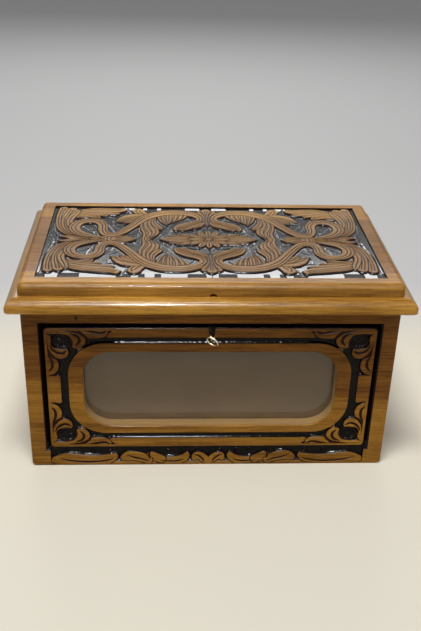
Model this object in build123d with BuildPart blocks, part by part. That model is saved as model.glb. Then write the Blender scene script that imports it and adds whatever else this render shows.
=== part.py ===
from build123d import *
import math
import os

os.makedirs("parts", exist_ok=True)

# Chest of solid boards with a moulded cornice, a lifting lid and one deep drawer with a glazed front.
# Millimetres, X to the right, Y to the back, Z up, origin under the middle of the case.

# Case
case_width = 374.0
case_depth = 217.0
case_height = 188.0
front_thickness = 18.0
wall_thickness = 12.0
base_round = 5.0
edge_round = 1.2

# Floors let into the case walls
groove_depth = 5.0
groove_clearance = 0.1
bottom_height = 4.0
bottom_thickness = 8.0
tray_drop = 17.0
tray_thickness = 6.0

# Cornice on top of the case
cornice_overhang = 13.0
cornice_thickness = 15.0
cornice_ovolo = 9.5
cornice_bevel = 3.0
cornice_corner = 3.0

# Lid
lid_inset = 11.5
lid_thickness = 13.0
lid_ovolo = 5.5
lid_corner_ease = 0.5
lid_side_border = 15.5
lid_front_border = 16.0
lid_back_border = 14.5
lid_ground_depth = 1.9
finger_notch_radius = 3.6
finger_notch_depth = 5.0

# Main forms of the lid's carving, as flat ribs on its ground: smooth lines in the back left quarter of the
# carved field, in shares of its half width and half depth, each with the rib's width in millimetres
carving_rise = 1.1
lid_ribs = (
    (10.0, ((-0.72, 0.075), (-0.80, 0.17), (-0.835, 0.36), (-0.755, 0.545), (-0.664, 0.40), (-0.66, 0.25))),
    (9.5, ((-0.66, 0.27), (-0.64, 0.155), (-0.59, 0.128), (-0.54, 0.20), (-0.50, 0.316), (-0.435, 0.53),
           (-0.33, 0.74), (-0.21, 0.81), (-0.10, 0.76))),
    (8.4, ((-0.10, 0.76), (-0.045, 0.645), (-0.05, 0.56), (-0.09, 0.493), (-0.136, 0.445), (-0.197, 0.32))),
    (12.5, ((-0.74, 0.07), (-0.885, 0.25), (-0.93, 0.55), (-0.92, 0.91))),
    (15.0, ((-0.85, 0.74), (-0.72, 0.83), (-0.58, 0.85))),
    (9.5, ((-0.42, 0.68), (-0.49, 0.64), (-0.54, 0.57))),
    (10.0, ((-0.39, 0.70), (-0.43, 0.80), (-0.445, 0.88))),
    (10.0, ((-0.36, 0.64), (-0.385, 0.42), (-0.362, 0.17), (-0.392, 0.0))),
    (15.0, ((-0.235, 0.78), (-0.245, 0.64), (-0.25, 0.54))),
    (8.0, ((-0.04, 0.45), (-0.10, 0.38), (-0.15, 0.31))),
    (8.0, ((0.0, 0.46), (0.0, 0.66), (0.0, 0.90))),
)
lid_middle_ribs = (
    (10.5, ((-0.85, 0.0), (-0.68, 0.0), (-0.49, 0.0))),
    (14.0, ((-0.24, 0.0), (0.0, 0.0), (0.24, 0.0))),
)
flower_radius = 16.0

# The front half repeats these lines nearer to the middle, most of all beyond the squeeze's end towards the sides
front_squeeze_middle = 0.955
front_squeeze_side = 0.885
squeeze_start = 0.55
squeeze_end = 0.72

# Drawer front and its opening
stile_width = 21.0
top_rail = 20.5
drawer_front_foot = 24.0
drawer_front_corner = 4.0
drawer_gap = 1.2
opening_chamfer = 4.6
carved_depth = 3.0
apron_foot = 1.5

# Oval frame and window in the drawer front
window_side_margin = 36.5
window_foot_margin = 26.5
window_head_margin = 27.5
window_corner = 29.0
frame_side = 14.5
frame_top = 10.0
frame_bottom = 8.5
frame_corner = 37.0
groove_side = 8.0
groove_top = 7.0
groove_bottom = 7.0
corner_field_width = 64.7
top_field_height = 52.5
bottom_field_height = 53.5
field_margin = 3.0
notch_top_width = 7.0
notch_foot_width = 4.6

# Window glass and the beads that hold it
rebate_width = 6.0
glass_depth = 12.8
glass_thickness = 2.0
glass_clearance = 0.3
bead_width = 5.0

# Drawer box
drawer_side_thickness = 8.0
drawer_side_drop = 17.5
drawer_side_lap = 6.0
drawer_back_thickness = 8.0
drawer_bottom_lift = 5.0
drawer_bottom_thickness = 4.0
drawer_groove_depth = 4.0
drawer_stop_gap = 0.3

# Runners under and beside the drawer
runner_clearance = 0.3
guide_clearance = 0.6
runner_ledge = 14.6
guide_height = 26.0

# Hinges
hinge_inset = 68.5
hinge_length = 32.0
leaf_width = 13.0
leaf_thickness = 0.9
leaf_gap = 0.1
knuckle_radius = 2.4
knuckle_clearance = 0.4
knuckle_hollow = 0.3
knuckle_gap = 0.2
pin_radius = 1.0
pin_clearance = 0.05
mortise_clearance = 0.2

# Hinge screws
screw_radius = 1.0
screw_head_radius = 1.9
screw_length = 7.5
screw_tip = 1.6
screw_spacing = 20.0
screw_setback = 7.5
screw_slot_width = 0.5
screw_slot_depth = 0.35
screw_clearance = 0.05

# Screw eye and pull ring
eye_x = -1.1
eye_drop = 6.6
eye_reach = 7.0
eye_radius = 2.6
eye_wire = 0.6
eye_turn = 20.0
eye_shank_radius = 0.8
eye_shank_depth = 9.0
ring_radius = 6.0
ring_wire = 0.8
ring_normal = Vector(0.51, 0.75, 0.41).normalized()

# Places worked out from the sizes
front_y = -case_depth / 2
front_inner_y = front_y + front_thickness
back_y = case_depth / 2
back_inner_y = back_y - wall_thickness
side_x = case_width / 2
side_inner_x = side_x - wall_thickness
tray_height = case_height - tray_drop
cornice_width = case_width + 2 * cornice_overhang
cornice_depth = case_depth + 2 * cornice_overhang
cornice_rail = cornice_overhang + wall_thickness
lid_seat = case_height + cornice_thickness
lid_width = cornice_width - 2 * lid_inset
lid_depth = cornice_depth - 2 * lid_inset
lid_top = lid_seat + lid_thickness
lid_corner = lid_ovolo + lid_corner_ease
drawer_front_width = case_width - 2 * stile_width
drawer_front_top = case_height - top_rail
drawer_front_height = drawer_front_top - drawer_front_foot
opening_foot = drawer_front_foot - drawer_gap
opening_top = drawer_front_top + drawer_gap
opening_width = drawer_front_width + 2 * drawer_gap
window_width = drawer_front_width - 2 * window_side_margin
window_foot = drawer_front_foot + window_foot_margin
window_top = drawer_front_top - window_head_margin
window_height = window_top - window_foot
eye_height = drawer_front_top - eye_drop
floor_width = 2 * (side_inner_x + groove_depth)
floor_front_y = front_inner_y - groove_depth
floor_back_y = back_inner_y + groove_depth
front_face = Plane.XZ.offset(-front_y)


def span(low, high):
    """The middle and the length of a stretch."""
    return (low + high) / 2, high - low


# Case: front, sides and back

with BuildPart() as floor_grooves:
    groove_middle, groove_length = span(floor_front_y - groove_clearance, floor_back_y + groove_clearance)
    for foot, thickness in ((bottom_height, bottom_thickness), (tray_height, tray_thickness)):
        with BuildSketch(Plane.XY.offset(foot - groove_clearance)):
            with Locations((0, groove_middle)):
                Rectangle(floor_width + 2 * groove_clearance, groove_length)
        extrude(amount=thickness + 2 * groove_clearance)

with BuildPart() as case_front:
    opening_middle, opening_height = span(opening_foot, opening_top)
    with BuildSketch(front_face) as front_outline:
        with Locations((0, case_height / 2)):
            Rectangle(case_width, case_height)
        fillet(front_outline.vertices().group_by(Axis.Z)[0], radius=base_round)
    extrude(amount=-front_thickness)
    outer_edges = case_front.faces().sort_by(Axis.Y)[0].edges().filter_by(Axis.Z)
    fillet(outer_edges, radius=edge_round)
    with BuildSketch(front_face):
        with Locations((0, opening_middle)):
            Rectangle(opening_width, opening_height)
    extrude(amount=-front_thickness, mode=Mode.SUBTRACT)
    chamfer(case_front.faces().sort_by(Axis.Y)[0].inner_wires()[0].edges(), length=opening_chamfer)
    apron_middle, apron_height = span(apron_foot, opening_foot)
    with BuildSketch(front_face):
        with Locations((0, apron_middle)):
            Rectangle(opening_width, apron_height)
    extrude(amount=-carved_depth, mode=Mode.SUBTRACT)
    add(floor_grooves.part, mode=Mode.SUBTRACT)
case_front.part.label = "case_front"
export_step(case_front.part, "parts/case_front.step")

with BuildPart() as case_left_side:
    with BuildSketch(Plane.XZ.offset(-front_inner_y)) as side_section:
        with Locations(((-side_x - side_inner_x) / 2, case_height / 2)):
            Rectangle(wall_thickness, case_height)
        fillet(side_section.vertices().group_by(Axis.Z)[0].sort_by(Axis.X)[0], radius=base_round)
    extrude(amount=-(back_y - front_inner_y))
    add(floor_grooves.part, mode=Mode.SUBTRACT)
case_left_side.part.label = "case_left_side"
export_step(case_left_side.part, "parts/case_left_side.step")

with BuildPart() as case_right_side:
    mirror(case_left_side.part, about=Plane.YZ)
case_right_side.part.label = "case_right_side"
export_step(case_right_side.part, "parts/case_right_side.step")

with BuildPart() as case_back:
    with BuildSketch(Plane.XZ.offset(-back_inner_y)):
        with Locations((0, case_height / 2)):
            Rectangle(2 * side_inner_x, case_height)
    extrude(amount=-wall_thickness)
    add(floor_grooves.part, mode=Mode.SUBTRACT)
case_back.part.label = "case_back"
export_step(case_back.part, "parts/case_back.step")


# Floors: the case bottom and the tray floor above the drawer

def floor_board(foot, thickness):
    """A thin board whose edges sit in the grooves of the four walls."""
    middle_y, length_y = span(floor_front_y, floor_back_y)
    with BuildPart() as board:
        with BuildSketch(Plane.XY.offset(foot)):
            with Locations((0, middle_y)):
                Rectangle(floor_width, length_y)
        extrude(amount=thickness)
    return board


case_bottom = floor_board(bottom_height, bottom_thickness)
case_bottom.part.label = "case_bottom"
export_step(case_bottom.part, "parts/case_bottom.step")

tray_floor = floor_board(tray_height, tray_thickness)
tray_floor.part.label = "tray_floor"
export_step(tray_floor.part, "parts/tray_floor.step")


# Cornice: four moulded lengths mitred at the corners

def cornice_length(outside_length, reach):
    """A mitred moulding along the front edge, with its outer face at -reach."""
    ovolo_y = -reach + cornice_ovolo
    ovolo_z = lid_seat - cornice_ovolo
    lean = cornice_ovolo * math.sqrt(0.5)
    with BuildPart() as moulding:
        with BuildSketch(Plane.YZ.offset(-outside_length / 2)):
            with BuildLine():
                Polyline(
                    (ovolo_y, lid_seat),
                    (-reach + cornice_rail, lid_seat),
                    (-reach + cornice_rail, case_height),
                    (-reach + cornice_bevel, case_height),
                    (-reach, case_height + cornice_bevel),
                    (-reach, ovolo_z),
                )
                ThreePointArc((-reach, ovolo_z), (ovolo_y - lean, ovolo_z + lean), (ovolo_y, lid_seat))
            make_face()
        extrude(amount=outside_length)
        for end in (1, -1):
            mitre = Plane(
                origin=(end * outside_length / 2, -reach, case_height),
                x_dir=(0, 0, 1),
                z_dir=(end, 1, 0),
            )
            split(bisect_by=mitre, keep=Keep.BOTTOM)
        with BuildSketch(Plane.XY.offset(case_height)):
            RectangleRounded(outside_length, 2 * reach, cornice_corner)
        extrude(amount=cornice_thickness, mode=Mode.INTERSECT)
    return moulding.part


cornice_turns = {
    "cornice_front": (cornice_width, cornice_depth / 2, 0),
    "cornice_left": (cornice_depth, cornice_width / 2, -90),
    "cornice_right": (cornice_depth, cornice_width / 2, 90),
}
for name, (outside_length, reach, turn) in cornice_turns.items():
    with BuildPart() as cornice_piece:
        add(cornice_length(outside_length, reach).rotate(Axis.Z, turn))
    cornice_piece.part.label = name
    export_step(cornice_piece.part, f"parts/{name}.step")


# Hinges: the axis runs behind the lid's back edge, level with the seam

hinge_y = lid_depth / 2 + knuckle_clearance + knuckle_radius
hinge_z = lid_seat
hinge_xs = {"left": hinge_inset - lid_width / 2, "right": lid_width / 2 - hinge_inset}
leaf_middle_y = hinge_y - leaf_width / 2
screw_y = hinge_y - screw_setback
case_leaf_z = lid_seat - leaf_gap - leaf_thickness
lid_leaf_z = lid_seat + leaf_gap
mortise_depth = leaf_thickness + leaf_gap
knuckle_length = (hinge_length - 2 * knuckle_gap) / 3
knuckle_pitch = knuckle_length + knuckle_gap
screw_places = [(x + side * screw_spacing / 2, screw_y) for x in hinge_xs.values() for side in (-1, 1)]


with BuildPart() as hinge_seats:
    seat_middle, seat_length = span(hinge_y - leaf_width - mortise_clearance, hinge_y)
    for x in hinge_xs.values():
        with BuildSketch(Plane.XY.offset(lid_seat - mortise_depth)):
            with Locations((x, seat_middle)):
                Rectangle(hinge_length + 2 * mortise_clearance, seat_length)
        extrude(amount=2 * mortise_depth)
        with BuildSketch(Plane.YZ.offset(x - hinge_length / 2 - mortise_clearance)):
            with Locations((hinge_y, hinge_z)):
                Circle(knuckle_radius + knuckle_hollow)
        extrude(amount=hinge_length + 2 * mortise_clearance)

with BuildPart() as screw_pilots:
    with BuildSketch(Plane.XY.offset(lid_seat)):
        with Locations(*screw_places):
            Circle(screw_radius + screw_clearance)
    extrude(amount=screw_length + mortise_depth, both=True)


def hinge_leaf(x, foot, is_lid_leaf):
    """One leaf with its knuckles; the lid leaf has the middle knuckle, the case leaf the outer two."""
    own = (0,) if is_lid_leaf else (-1, 1)
    other = (-1, 1) if is_lid_leaf else (0,)
    with BuildPart() as leaf:
        with BuildSketch(Plane.XY.offset(foot)):
            with Locations((x, leaf_middle_y)):
                Rectangle(hinge_length, leaf_width)
        extrude(amount=leaf_thickness)
        for place in other:
            start = x + place * knuckle_pitch - knuckle_length / 2 - knuckle_gap
            with BuildSketch(Plane.YZ.offset(start)):
                with Locations((hinge_y, hinge_z)):
                    Circle(knuckle_radius + knuckle_gap)
            extrude(amount=knuckle_length + 2 * knuckle_gap, mode=Mode.SUBTRACT)
        for place in own:
            with BuildSketch(Plane.YZ.offset(x + place * knuckle_pitch - knuckle_length / 2)):
                with Locations((hinge_y, hinge_z)):
                    Circle(knuckle_radius)
            extrude(amount=knuckle_length)
        with BuildSketch(Plane.YZ.offset(x - hinge_length / 2)):
            with Locations((hinge_y, hinge_z)):
                Circle(pin_radius + pin_clearance)
        extrude(amount=hinge_length, mode=Mode.SUBTRACT)
        head_side = foot if is_lid_leaf else foot + leaf_thickness
        flip = 180 if is_lid_leaf else 0
        for side in (-1, 1):
            with Locations(Location((x + side * screw_spacing / 2, screw_y, head_side), (flip, 0, 0))):
                CounterSinkHole(
                    radius=screw_radius + screw_clearance,
                    counter_sink_radius=screw_head_radius + screw_clearance,
                    depth=leaf_thickness,
                )
    return leaf


def hinge_screws(head_z, direction):
    """Four countersunk screws whose heads lie at head_z; direction is 1 upwards and -1 downwards."""
    neck = screw_head_radius - screw_radius
    with BuildPart() as screws:
        for x, y in screw_places:
            with BuildSketch(Plane(origin=(x, y, head_z), x_dir=(1, 0, 0), z_dir=(0, -direction, 0))):
                with BuildLine():
                    Polyline(
                        (0, 0),
                        (screw_head_radius, 0),
                        (screw_radius, neck),
                        (screw_radius, screw_length - screw_tip),
                        (0, screw_length),
                        close=True,
                    )
                make_face()
            revolve(axis=Axis((x, y, head_z), (0, 0, 1)))
        with BuildSketch(Plane.XY.offset(head_z)):
            with Locations(*screw_places):
                Rectangle(2 * screw_head_radius + 1, screw_slot_width)
        extrude(amount=direction * screw_slot_depth, mode=Mode.SUBTRACT)
    return screws


with BuildPart() as cornice_back:
    add(cornice_length(cornice_width, cornice_depth / 2).rotate(Axis.Z, 180))
    add(hinge_seats.part, mode=Mode.SUBTRACT)
    add(screw_pilots.part, mode=Mode.SUBTRACT)
cornice_back.part.label = "cornice_back"
export_step(cornice_back.part, "parts/cornice_back.step")

for side, x in hinge_xs.items():
    case_leaf = hinge_leaf(x, case_leaf_z, False)
    case_leaf.part.label = f"hinge_case_leaf_{side}"
    export_step(case_leaf.part, f"parts/hinge_case_leaf_{side}.step")

    lid_leaf = hinge_leaf(x, lid_leaf_z, True)
    lid_leaf.part.label = f"hinge_lid_leaf_{side}"
    export_step(lid_leaf.part, f"parts/hinge_lid_leaf_{side}.step")

    with BuildPart() as hinge_pin:
        with BuildSketch(Plane.YZ.offset(x - hinge_length / 2)):
            with Locations((hinge_y, hinge_z)):
                Circle(pin_radius)
        extrude(amount=hinge_length)
    hinge_pin.part.label = f"hinge_pin_{side}"
    export_step(hinge_pin.part, f"parts/hinge_pin_{side}.step")

case_hinge_screws = hinge_screws(case_leaf_z + leaf_thickness, -1)
case_hinge_screws.part.label = "case_hinge_screws"
export_step(case_hinge_screws.part, "parts/case_hinge_screws.step")

lid_hinge_screws = hinge_screws(lid_leaf_z, 1)
lid_hinge_screws.part.label = "lid_hinge_screws"
export_step(lid_hinge_screws.part, "parts/lid_hinge_screws.step")


# Lid: one thick board with a sunk ground, and in it the main forms of the carving

field_half_x = lid_width / 2 - lid_side_border
ground_middle, ground_length = span(lid_front_border - lid_depth / 2, lid_depth / 2 - lid_back_border)


def rib(width, shares):
    """A strip of even width along a smooth line through places given as shares of the field."""
    places = [(across * field_half_x, up * ground_length / 2) for across, up in shares]
    with BuildSketch() as strip:
        with BuildLine():
            Spline(*places)
        trace(line_width=width)
    return strip.sketch


def front_line(shares):
    """The same line in the front half of the field."""
    line = []
    for across, up in shares:
        sideways = min(1.0, max(0.0, (-across - squeeze_start) / (squeeze_end - squeeze_start)))
        squeeze = front_squeeze_middle + (front_squeeze_side - front_squeeze_middle) * sideways
        line.append((across, -up * squeeze))
    return line


with BuildSketch() as carving_plan:
    for width, shares in lid_ribs:
        add(rib(width, shares))
        add(rib(width, front_line(shares)))
    for width, shares in lid_middle_ribs:
        add(rib(width, shares))
    mirror(about=Plane.YZ)
    Circle(flower_radius)

with BuildPart() as lid_panel:
    with BuildSketch(Plane.XY.offset(lid_seat)):
        RectangleRounded(lid_width, lid_depth, lid_corner)
    extrude(amount=lid_thickness)
    fillet(lid_panel.faces().sort_by(Axis.Z)[-1].edges(), radius=lid_ovolo)
    with BuildSketch(Plane.XY.offset(lid_top)):
        with Locations((0, ground_middle)):
            Rectangle(2 * field_half_x, ground_length)
    extrude(amount=-lid_ground_depth, mode=Mode.SUBTRACT)
    with BuildSketch(Plane.XY.offset(lid_top - lid_ground_depth)):
        with Locations((0, ground_middle)):
            add(carving_plan.sketch)
    extrude(amount=carving_rise)
    with BuildSketch(Plane.XZ.offset(lid_depth / 2)):
        with Locations((0, lid_seat)):
            Circle(finger_notch_radius)
    extrude(amount=-finger_notch_depth, mode=Mode.SUBTRACT)
    add(hinge_seats.part, mode=Mode.SUBTRACT)
    add(screw_pilots.part, mode=Mode.SUBTRACT)
lid_panel.part.label = "lid_panel"
export_step(lid_panel.part, "parts/lid_panel.step")


# Runners: an L section that carries and guides each drawer side

runner_foot = bottom_height + bottom_thickness
runner_top = drawer_front_foot - runner_clearance
guide_x = drawer_front_width / 2 + guide_clearance
ledge_x = guide_x - runner_ledge

with BuildPart() as drawer_runner_left:
    with BuildSketch(Plane.XZ.offset(-front_inner_y)):
        with BuildLine():
            Polyline(
                (-side_inner_x, runner_foot),
                (-ledge_x, runner_foot),
                (-ledge_x, runner_top),
                (-guide_x, runner_top),
                (-guide_x, runner_top + guide_height),
                (-side_inner_x, runner_top + guide_height),
                close=True,
            )
        make_face()
    extrude(amount=-(back_inner_y - front_inner_y))
drawer_runner_left.part.label = "drawer_runner_left"
export_step(drawer_runner_left.part, "parts/drawer_runner_left.step")

with BuildPart() as drawer_runner_right:
    mirror(drawer_runner_left.part, about=Plane.YZ)
drawer_runner_right.part.label = "drawer_runner_right"
export_step(drawer_runner_right.part, "parts/drawer_runner_right.step")


# Drawer front: border band, sunk carved ground and an oval frame round the window

drawer_middle = drawer_front_foot + drawer_front_height / 2
window_middle = window_foot + window_height / 2
drawer_half = drawer_front_width / 2
drawer_side_inner = drawer_half - drawer_side_thickness
drawer_bottom_foot = drawer_front_foot + drawer_bottom_lift
drawer_bottom_edge_x = drawer_side_inner + drawer_groove_depth - groove_clearance
frame_half = window_width / 2 + frame_side
frame_foot = window_foot - frame_bottom
frame_head = window_top + frame_top
band_half = frame_half + groove_side
band_foot = frame_foot - groove_bottom
band_head = frame_head + groove_top
rebate_depth = front_thickness - glass_depth
rebate_half = window_width / 2 + rebate_width
rebate_half_height = window_height / 2 + rebate_width
eye_centre = Vector(eye_x, front_y - eye_reach, eye_height)
shank_end_y = front_y + carved_depth + eye_shank_depth


with BuildPart() as drawer_bottom_groove:
    slot_middle, slot_length = span(front_inner_y - groove_depth, back_inner_y)
    with BuildSketch(Plane.XY.offset(drawer_bottom_foot - groove_clearance)):
        with Locations((0, slot_middle)):
            Rectangle(2 * (drawer_bottom_edge_x + groove_clearance), slot_length)
    extrude(amount=drawer_bottom_thickness + 2 * groove_clearance)

with BuildPart() as drawer_front:
    with BuildSketch(front_face):
        with Locations((0, drawer_middle)):
            RectangleRounded(drawer_front_width, drawer_front_height, drawer_front_corner)
        with Locations((0, window_middle)):
            RectangleRounded(window_width, window_height, window_corner, mode=Mode.SUBTRACT)
    extrude(amount=-front_thickness)
    fillet(drawer_front.faces().sort_by(Axis.Y)[0].edges(), radius=edge_round)
    band_middle, band_height = span(band_foot, band_head)
    frame_middle, frame_height = span(frame_foot, frame_head)
    field_x = drawer_half - field_margin - corner_field_width / 2
    top_field_z = drawer_front_top - field_margin - top_field_height / 2
    bottom_field_z = drawer_front_foot + field_margin + bottom_field_height / 2
    with BuildSketch(front_face):
        with Locations((0, band_middle)):
            Rectangle(2 * band_half, band_height)
        with Locations((-field_x, top_field_z), (field_x, top_field_z)):
            Rectangle(corner_field_width, top_field_height)
        with Locations((-field_x, bottom_field_z), (field_x, bottom_field_z)):
            Rectangle(corner_field_width, bottom_field_height)
        with Locations((0, frame_middle)):
            RectangleRounded(2 * frame_half, frame_height, frame_corner, mode=Mode.SUBTRACT)
        with BuildLine():
            Polyline(
                (-notch_foot_width / 2, band_head - 1),
                (notch_foot_width / 2, band_head - 1),
                (notch_top_width / 2, drawer_front_top),
                (-notch_top_width / 2, drawer_front_top),
                close=True,
            )
        make_face()
    extrude(amount=-carved_depth, mode=Mode.SUBTRACT)
    with BuildSketch(Plane.XZ.offset(-front_inner_y)):
        with Locations((0, window_middle)):
            Rectangle(2 * rebate_half, 2 * rebate_half_height)
    extrude(amount=rebate_depth, mode=Mode.SUBTRACT)
    with BuildSketch(Plane.XZ.offset(-front_inner_y)):
        for side in (-1, 1):
            with Locations((side * (drawer_half + drawer_side_inner) / 2, drawer_middle)):
                Rectangle(drawer_side_thickness, drawer_front_height)
    extrude(amount=drawer_side_lap, mode=Mode.SUBTRACT)
    add(drawer_bottom_groove.part, mode=Mode.SUBTRACT)
    with BuildSketch(Plane.XZ.offset(-shank_end_y)):
        with Locations((eye_x, eye_height)):
            Circle(eye_shank_radius + screw_clearance)
    extrude(amount=shank_end_y - front_y, mode=Mode.SUBTRACT)
drawer_front.part.label = "drawer_front"
export_step(drawer_front.part, "parts/drawer_front.step")


# Window glass and its four beads

with BuildPart() as window_glass:
    with BuildSketch(Plane.XZ.offset(-(front_y + glass_depth))):
        with Locations((0, window_middle)):
            Rectangle(2 * (rebate_half - glass_clearance), 2 * (rebate_half_height - glass_clearance))
    extrude(amount=-glass_thickness)
window_glass.part.label = "window_glass"
export_step(window_glass.part, "parts/window_glass.step")

bead_spots = {
    "glazing_bead_top": (0, rebate_half_height - bead_width / 2, 2 * rebate_half, bead_width),
    "glazing_bead_bottom": (0, bead_width / 2 - rebate_half_height, 2 * rebate_half, bead_width),
    "glazing_bead_left": (
        bead_width / 2 - rebate_half, 0, bead_width, 2 * (rebate_half_height - bead_width),
    ),
    "glazing_bead_right": (
        rebate_half - bead_width / 2, 0, bead_width, 2 * (rebate_half_height - bead_width),
    ),
}
for name, (bead_x, bead_z, bead_length_x, bead_length_z) in bead_spots.items():
    with BuildPart() as glazing_bead:
        with BuildSketch(Plane.XZ.offset(-(front_y + glass_depth + glass_thickness))):
            with Locations((bead_x, window_middle + bead_z)):
                Rectangle(bead_length_x, bead_length_z)
        extrude(amount=-(rebate_depth - glass_thickness))
    glazing_bead.part.label = name
    export_step(glazing_bead.part, f"parts/{name}.step")


# Drawer box

drawer_rear_y = back_inner_y - drawer_stop_gap
drawer_back_y = drawer_rear_y - drawer_back_thickness
drawer_side_front_y = front_inner_y - drawer_side_lap
drawer_side_top = drawer_front_top - drawer_side_drop
drawer_side_height = drawer_side_top - drawer_front_foot

with BuildPart() as drawer_side_left:
    with BuildSketch(Plane.XZ.offset(-drawer_side_front_y)):
        with Locations((-(drawer_half + drawer_side_inner) / 2, drawer_front_foot + drawer_side_height / 2)):
            Rectangle(drawer_side_thickness, drawer_side_height)
    extrude(amount=-(drawer_rear_y - drawer_side_front_y))
    add(drawer_bottom_groove.part, mode=Mode.SUBTRACT)
drawer_side_left.part.label = "drawer_side_left"
export_step(drawer_side_left.part, "parts/drawer_side_left.step")

with BuildPart() as drawer_side_right:
    mirror(drawer_side_left.part, about=Plane.YZ)
drawer_side_right.part.label = "drawer_side_right"
export_step(drawer_side_right.part, "parts/drawer_side_right.step")

with BuildPart() as drawer_back:
    back_middle, back_height = span(drawer_bottom_foot + drawer_bottom_thickness, drawer_side_top)
    with BuildSketch(Plane.XZ.offset(-drawer_back_y)):
        with Locations((0, back_middle)):
            Rectangle(2 * drawer_side_inner, back_height)
    extrude(amount=-drawer_back_thickness)
drawer_back.part.label = "drawer_back"
export_step(drawer_back.part, "parts/drawer_back.step")

with BuildPart() as drawer_bottom:
    bottom_middle, bottom_length = span(front_inner_y - groove_depth + groove_clearance, drawer_rear_y)
    with BuildSketch(Plane.XY.offset(drawer_bottom_foot)):
        with Locations((0, bottom_middle)):
            Rectangle(2 * drawer_bottom_edge_x, bottom_length)
    extrude(amount=drawer_bottom_thickness)
drawer_bottom.part.label = "drawer_bottom"
export_step(drawer_bottom.part, "parts/drawer_bottom.step")


# Screw eye and the ring that hangs in it

eye_normal = Vector(math.cos(math.radians(eye_turn)), 0, math.sin(math.radians(eye_turn)))

with BuildPart() as screw_eye:
    loop_side = eye_normal.cross(Vector(0, 1, 0))
    with BuildSketch(Plane(origin=eye_centre + loop_side * eye_radius, x_dir=loop_side, z_dir=(0, 1, 0))):
        Circle(eye_wire)
    revolve(axis=Axis(eye_centre, eye_normal))
    with BuildSketch(Plane.XZ.offset(-shank_end_y)):
        with Locations((eye_x, eye_height)):
            Circle(eye_shank_radius)
    extrude(amount=shank_end_y - eye_centre.Y - eye_radius)
screw_eye.part.label = "screw_eye"
export_step(screw_eye.part, "parts/screw_eye.step")

ring_up = (Vector(0, 0, 1) - ring_normal * ring_normal.Z).normalized()
ring_centre = eye_centre - ring_up * ring_radius

with BuildPart() as pull_ring:
    with BuildSketch(Plane(origin=eye_centre, x_dir=ring_up, z_dir=ring_normal.cross(ring_up))):
        Circle(ring_wire)
    revolve(axis=Axis(ring_centre, ring_normal))
pull_ring.part.label = "pull_ring"
export_step(pull_ring.part, "parts/pull_ring.step")

print("hinge axis", round(hinge_y, 3), round(hinge_z, 3))
print("ring pivot", eye_centre, "swing axis", ring_up.cross(ring_normal), "ring centre", ring_centre)
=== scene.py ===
"""Looks for the carved walnut scarf chest: lacquered boards, black-stained carving, glass and brass.

Lengths in the carving are in millimetres on the carved face; everything handed to Blender is in metres.
"""
import math

import bmesh
import bpy
import numpy as np
from mathutils import Matrix, Vector


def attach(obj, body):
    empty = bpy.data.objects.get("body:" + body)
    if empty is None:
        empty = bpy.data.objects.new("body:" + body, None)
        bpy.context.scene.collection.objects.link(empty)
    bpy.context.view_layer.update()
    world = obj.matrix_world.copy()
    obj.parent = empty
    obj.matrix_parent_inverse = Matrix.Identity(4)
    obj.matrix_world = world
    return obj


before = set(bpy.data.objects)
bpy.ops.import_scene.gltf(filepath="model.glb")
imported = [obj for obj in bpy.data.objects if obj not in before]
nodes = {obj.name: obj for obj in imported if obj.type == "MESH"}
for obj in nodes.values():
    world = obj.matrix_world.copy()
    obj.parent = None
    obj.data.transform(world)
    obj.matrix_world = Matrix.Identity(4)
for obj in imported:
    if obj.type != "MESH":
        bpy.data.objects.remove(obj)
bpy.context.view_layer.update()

MM = 0.001


# Camera, at the photograph's viewing angle

PHOTO_HEIGHT = 631
FOCAL_PIXELS = 875.3
SENSOR = 36.0
CAMERA_PLACE = Vector((-0.0472, -0.8626, 0.5869))
CAMERA_RIGHT = Vector((0.9986, -0.0453, 0.0267))
CAMERA_FORWARD = Vector((0.0526, 0.8798, -0.4725))


def add_camera():
    data = bpy.data.cameras.new("photo_camera")
    data.sensor_width = SENSOR
    data.lens = FOCAL_PIXELS * SENSOR / PHOTO_HEIGHT
    camera = bpy.data.objects.new("photo_camera", data)
    bpy.context.collection.objects.link(camera)
    back = -CAMERA_FORWARD.normalized()
    up = back.cross(CAMERA_RIGHT).normalized()
    right = up.cross(back)
    turn = Matrix((right, up, back)).transposed()
    camera.matrix_world = Matrix.Translation(CAMERA_PLACE) @ turn.to_4x4()
    bpy.context.scene.camera = camera


# Material maths: an expression on sockets adds its own Math nodes


class Amount:
    """A number, colour or direction that changes over a surface: one socket of a recipe."""

    def __init__(self, recipe, socket):
        self.recipe = recipe
        self.socket = socket

    def math(self, operation, first, second):
        return self.recipe.node("ShaderNodeMath", {"operation": operation}, {0: first, 1: second})

    def __add__(self, other):
        return self.math("ADD", self, other)

    def __sub__(self, other):
        return self.math("SUBTRACT", self, other)

    def __rsub__(self, other):
        return self.math("SUBTRACT", other, self)

    def __mul__(self, other):
        return self.math("MULTIPLY", self, other)

    def __gt__(self, other):
        return self.math("GREATER_THAN", self, other)

    def __lt__(self, other):
        return self.math("LESS_THAN", self, other)

    def __abs__(self):
        return self.math("ABSOLUTE", self, 0.0)

    def most(self, other):
        return self.math("MAXIMUM", self, other)

    __radd__ = __add__
    __rmul__ = __mul__


class Recipe:
    """The nodes of a material, or of the air round the chest, and the shader that they feed."""

    def __init__(self, owner, shader):
        owner.use_nodes = True
        self.tree = owner.node_tree
        self.shader = self.tree.nodes[shader]

    def node(self, kind, settings, values, output=0):
        made = self.tree.nodes.new(kind)
        for key, value in settings.items():
            setattr(made, key, value)
        for key, value in values.items():
            if isinstance(value, Amount):
                self.tree.links.new(value.socket, made.inputs[key])
            else:
                made.inputs[key].default_value = value
        return Amount(self, made.outputs[output])

    def feed(self, socket, amount):
        self.tree.links.new(amount.socket, self.shader.inputs[socket])


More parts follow.
